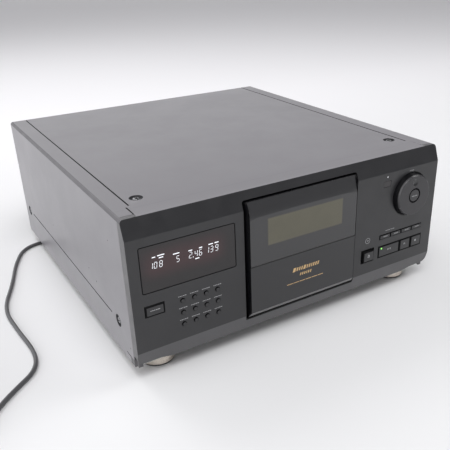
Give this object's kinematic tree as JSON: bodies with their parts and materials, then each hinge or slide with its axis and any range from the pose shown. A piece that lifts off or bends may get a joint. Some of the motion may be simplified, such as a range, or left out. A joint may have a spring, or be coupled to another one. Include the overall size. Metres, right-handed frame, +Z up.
{
  "type": "carousel compact disc changer",
  "caption": "Large hi-fi disc carousel player: steel cabinet on four drum feet, dark moulded front with motor-driven drop-down door, display, key groups and a jog dial, mains lead at the back.",
  "frame": {"origin": "on the surface the four feet stand on, under the middle of the body's bounding box (without the mains lead)", "axes": "+Z up, the front panel faces -Y, +X to the right seen from the front"},
  "size_m": [0.652, 0.5348, 0.191],
  "materials": {
    "cabinet_steel": "satin light grey textured paint",
    "chassis_steel": "plain zinc plated sheet",
    "screw_steel": "plated, slightly dull",
    "front_moulding": "fine satin charcoal",
    "display_smoke": "smoked clear, polished",
    "sensor_smoke": "dark infrared filter",
    "lamp_clear": "clear light pipe",
    "display_glass": "clear envelope",
    "circuit_board": "green laminate",
    "key_plastic": "satin black",
    "dial_plastic": "satin black with a bright rim",
    "door_plastic": "polished black",
    "window_smoke": "smoked olive tint",
    "gear_plastic": "white acetal",
    "motor_can": "drawn can",
    "ring_plastic": "black moulding",
    "mechanism_plastic": "black moulding",
    "jack_block": "black",
    "jack_metal": "nickel plated",
    "core_iron": "varnished laminations",
    "foot_plastic": "champagne satin with dark rubber base",
    "relief_rubber": "black",
    "cord_rubber": "dark grey",
    "tie_plastic": "black band",
    "plug_rubber": "black with bright blades"
  },
  "bodies": {
    "cabinet": {"chassis_pan": "chassis_steel", "rear_panel": "chassis_steel", "cabinet_cover": "cabinet_steel", "cover_screws": "screw_steel", "front_panel": "front_moulding", "display_window": "display_smoke", "sensor_window": "sensor_smoke", "status_lamp": "lamp_clear", "display_module": "display_glass", "left_board": "circuit_board", "right_board": "circuit_board", "door_motor": "motor_can", "carousel_hub": "mechanism_plastic", "table_motor": "motor_can", "mechanism_frame": "mechanism_plastic", "main_board": "circuit_board", "jack_block": "jack_block", "output_jacks": "jack_metal", "transformer": "core_iron", "foot_front_left": "foot_plastic", "foot_front_right": "foot_plastic", "foot_rear_left": "foot_plastic", "foot_rear_right": "foot_plastic", "cord_relief": "relief_rubber", "power_cord": "cord_rubber", "cord_coil": "cord_rubber", "cord_tie": "tie_plastic", "plug": "plug_rubber"},
    "door": {"door_panel": "door_plastic", "door_window": "window_smoke"},
    "door_pinion": {"door_pinion": "gear_plastic"},
    "carousel": {"carousel": "ring_plastic"},
    "table_pinion": {"table_pinion": "gear_plastic"},
    "spindle_turntable": {"spindle_turntable": "mechanism_plastic"},
    "clamper": {"clamper": "gear_plastic"},
    "pickup_sled": {"pickup_sled": "mechanism_plastic"},
    "loading_lever": {"loading_lever": "gear_plastic"},
    "jog_dial": {"jog_dial": "dial_plastic"},
    "enter_key": {"enter_key": "dial_plastic"},
    "power_key": {"power_key": "key_plastic"},
    "round_key_01": {"round_key_01": "key_plastic"},
    "round_key_02": {"round_key_02": "key_plastic"},
    "round_key_03": {"round_key_03": "key_plastic"},
    "round_key_04": {"round_key_04": "key_plastic"},
    "round_key_05": {"round_key_05": "key_plastic"},
    "round_key_06": {"round_key_06": "key_plastic"},
    "round_key_07": {"round_key_07": "key_plastic"},
    "round_key_08": {"round_key_08": "key_plastic"},
    "round_key_09": {"round_key_09": "key_plastic"},
    "round_key_10": {"round_key_10": "key_plastic"},
    "round_key_11": {"round_key_11": "key_plastic"},
    "round_key_12": {"round_key_12": "key_plastic"},
    "thin_key_1": {"thin_key_1": "key_plastic"},
    "thin_key_2": {"thin_key_2": "key_plastic"},
    "thin_key_3": {"thin_key_3": "key_plastic"},
    "thin_key_4": {"thin_key_4": "key_plastic"},
    "play_key": {"play_key": "key_plastic"},
    "pause_key": {"pause_key": "key_plastic"},
    "stop_key": {"stop_key": "key_plastic"},
    "open_key": {"open_key": "key_plastic"}
  },
  "joints": [
    {"name": "door_hinge", "type": "hinge", "parent": "cabinet", "child": "door", "pos_m": [0, -0.2218, 0.0485], "axis": [1, 0, 0], "range_deg": [0, 70]},
    {"name": "door_pinion_turn", "type": "hinge", "parent": "cabinet", "child": "door_pinion", "pos_m": [0.0745, -0.20172, 0.05786], "axis": [1, 0, 0], "range_deg": [-190, 0]},
    {"name": "carousel_turn", "type": "hinge", "parent": "cabinet", "child": "carousel", "pos_m": [0, -0.006, 0.033], "axis": [0, 0, 1], "continuous": true},
    {"name": "table_pinion_turn", "type": "hinge", "parent": "cabinet", "child": "table_pinion", "pos_m": [0.14867, -0.15467, 0.029], "axis": [0, 0, 1], "continuous": true},
    {"name": "spindle_turn", "type": "hinge", "parent": "cabinet", "child": "spindle_turntable", "pos_m": [-0.0086, -0.006, 0.093], "axis": [1, 0, 0], "continuous": true},
    {"name": "clamper_slide", "type": "slide", "parent": "cabinet", "child": "clamper", "axis": [-1, 0, 0], "range_m": [0, 0.008]},
    {"name": "sled_slide", "type": "slide", "parent": "cabinet", "child": "pickup_sled", "axis": [0, -1, 0], "range_m": [0, 0.034]},
    {"name": "lever_turn", "type": "hinge", "parent": "cabinet", "child": "loading_lever", "pos_m": [0, 0.207, 0.06], "axis": [1, 0, 0], "range_deg": [0, 45]},
    {"name": "dial_turn", "type": "hinge", "parent": "cabinet", "child": "jog_dial", "pos_m": [0.1692, -0.2268, 0.1346], "axis": [0, -1, 0], "continuous": true},
    {"name": "enter_press", "type": "slide", "parent": "jog_dial", "child": "enter_key", "axis": [0, 1, 0], "range_m": [0, 0.0008], "stiffness_N_per_m": 300, "springref_m": -0.0005},
    {"name": "power_key_press", "type": "slide", "parent": "cabinet", "child": "power_key", "axis": [0, 1, 0], "range_m": [0, 0.0008], "stiffness_N_per_m": 300, "springref_m": -0.0005},
    {"name": "round_key_01_press", "type": "slide", "parent": "cabinet", "child": "round_key_01", "axis": [0, 1, 0], "range_m": [0, 0.0008], "stiffness_N_per_m": 300, "springref_m": -0.0005},
    {"name": "round_key_02_press", "type": "slide", "parent": "cabinet", "child": "round_key_02", "axis": [0, 1, 0], "range_m": [0, 0.0008], "stiffness_N_per_m": 300, "springref_m": -0.0005},
    {"name": "round_key_03_press", "type": "slide", "parent": "cabinet", "child": "round_key_03", "axis": [0, 1, 0], "range_m": [0, 0.0008], "stiffness_N_per_m": 300, "springref_m": -0.0005},
    {"name": "round_key_04_press", "type": "slide", "parent": "cabinet", "child": "round_key_04", "axis": [0, 1, 0], "range_m": [0, 0.0008], "stiffness_N_per_m": 300, "springref_m": -0.0005},
    {"name": "round_key_05_press", "type": "slide", "parent": "cabinet", "child": "round_key_05", "axis": [0, 1, 0], "range_m": [0, 0.0008], "stiffness_N_per_m": 300, "springref_m": -0.0005},
    {"name": "round_key_06_press", "type": "slide", "parent": "cabinet", "child": "round_key_06", "axis": [0, 1, 0], "range_m": [0, 0.0008], "stiffness_N_per_m": 300, "springref_m": -0.0005},
    {"name": "round_key_07_press", "type": "slide", "parent": "cabinet", "child": "round_key_07", "axis": [0, 1, 0], "range_m": [0, 0.0008], "stiffness_N_per_m": 300, "springref_m": -0.0005},
    {"name": "round_key_08_press", "type": "slide", "parent": "cabinet", "child": "round_key_08", "axis": [0, 1, 0], "range_m": [0, 0.0008], "stiffness_N_per_m": 300, "springref_m": -0.0005},
    {"name": "round_key_09_press", "type": "slide", "parent": "cabinet", "child": "round_key_09", "axis": [0, 1, 0], "range_m": [0, 0.0008], "stiffness_N_per_m": 300, "springref_m": -0.0005},
    {"name": "round_key_10_press", "type": "slide", "parent": "cabinet", "child": "round_key_10", "axis": [0, 1, 0], "range_m": [0, 0.0008], "stiffness_N_per_m": 300, "springref_m": -0.0005},
    {"name": "round_key_11_press", "type": "slide", "parent": "cabinet", "child": "round_key_11", "axis": [0, 1, 0], "range_m": [0, 0.0008], "stiffness_N_per_m": 300, "springref_m": -0.0005},
    {"name": "round_key_12_press", "type": "slide", "parent": "cabinet", "child": "round_key_12", "axis": [0, 1, 0], "range_m": [0, 0.0008], "stiffness_N_per_m": 300, "springref_m": -0.0005},
    {"name": "thin_key_1_press", "type": "slide", "parent": "cabinet", "child": "thin_key_1", "axis": [0, 1, 0], "range_m": [0, 0.0008], "stiffness_N_per_m": 300, "springref_m": -0.0005},
    {"name": "thin_key_2_press", "type": "slide", "parent": "cabinet", "child": "thin_key_2", "axis": [0, 1, 0], "range_m": [0, 0.0008], "stiffness_N_per_m": 300, "springref_m": -0.0005},
    {"name": "thin_key_3_press", "type": "slide", "parent": "cabinet", "child": "thin_key_3", "axis": [0, 1, 0], "range_m": [0, 0.0008], "stiffness_N_per_m": 300, "springref_m": -0.0005},
    {"name": "thin_key_4_press", "type": "slide", "parent": "cabinet", "child": "thin_key_4", "axis": [0, 1, 0], "range_m": [0, 0.0008], "stiffness_N_per_m": 300, "springref_m": -0.0005},
    {"name": "play_key_press", "type": "slide", "parent": "cabinet", "child": "play_key", "axis": [0, 1, 0], "range_m": [0, 0.0008], "stiffness_N_per_m": 300, "springref_m": -0.0005},
    {"name": "pause_key_press", "type": "slide", "parent": "cabinet", "child": "pause_key", "axis": [0, 1, 0], "range_m": [0, 0.0008], "stiffness_N_per_m": 300, "springref_m": -0.0005},
    {"name": "stop_key_press", "type": "slide", "parent": "cabinet", "child": "stop_key", "axis": [0, 1, 0], "range_m": [0, 0.0008], "stiffness_N_per_m": 300, "springref_m": -0.0005},
    {"name": "open_key_press", "type": "slide", "parent": "cabinet", "child": "open_key", "axis": [0, 1, 0], "range_m": [0, 0.0008], "stiffness_N_per_m": 300, "springref_m": -0.0005}
  ],
  "couplings": [
    {"joint": "door_pinion_turn", "follows": "door_hinge", "ratio": -2.6667},
    {"joint": "table_pinion_turn", "follows": "carousel_turn", "ratio": -13}
  ]
}
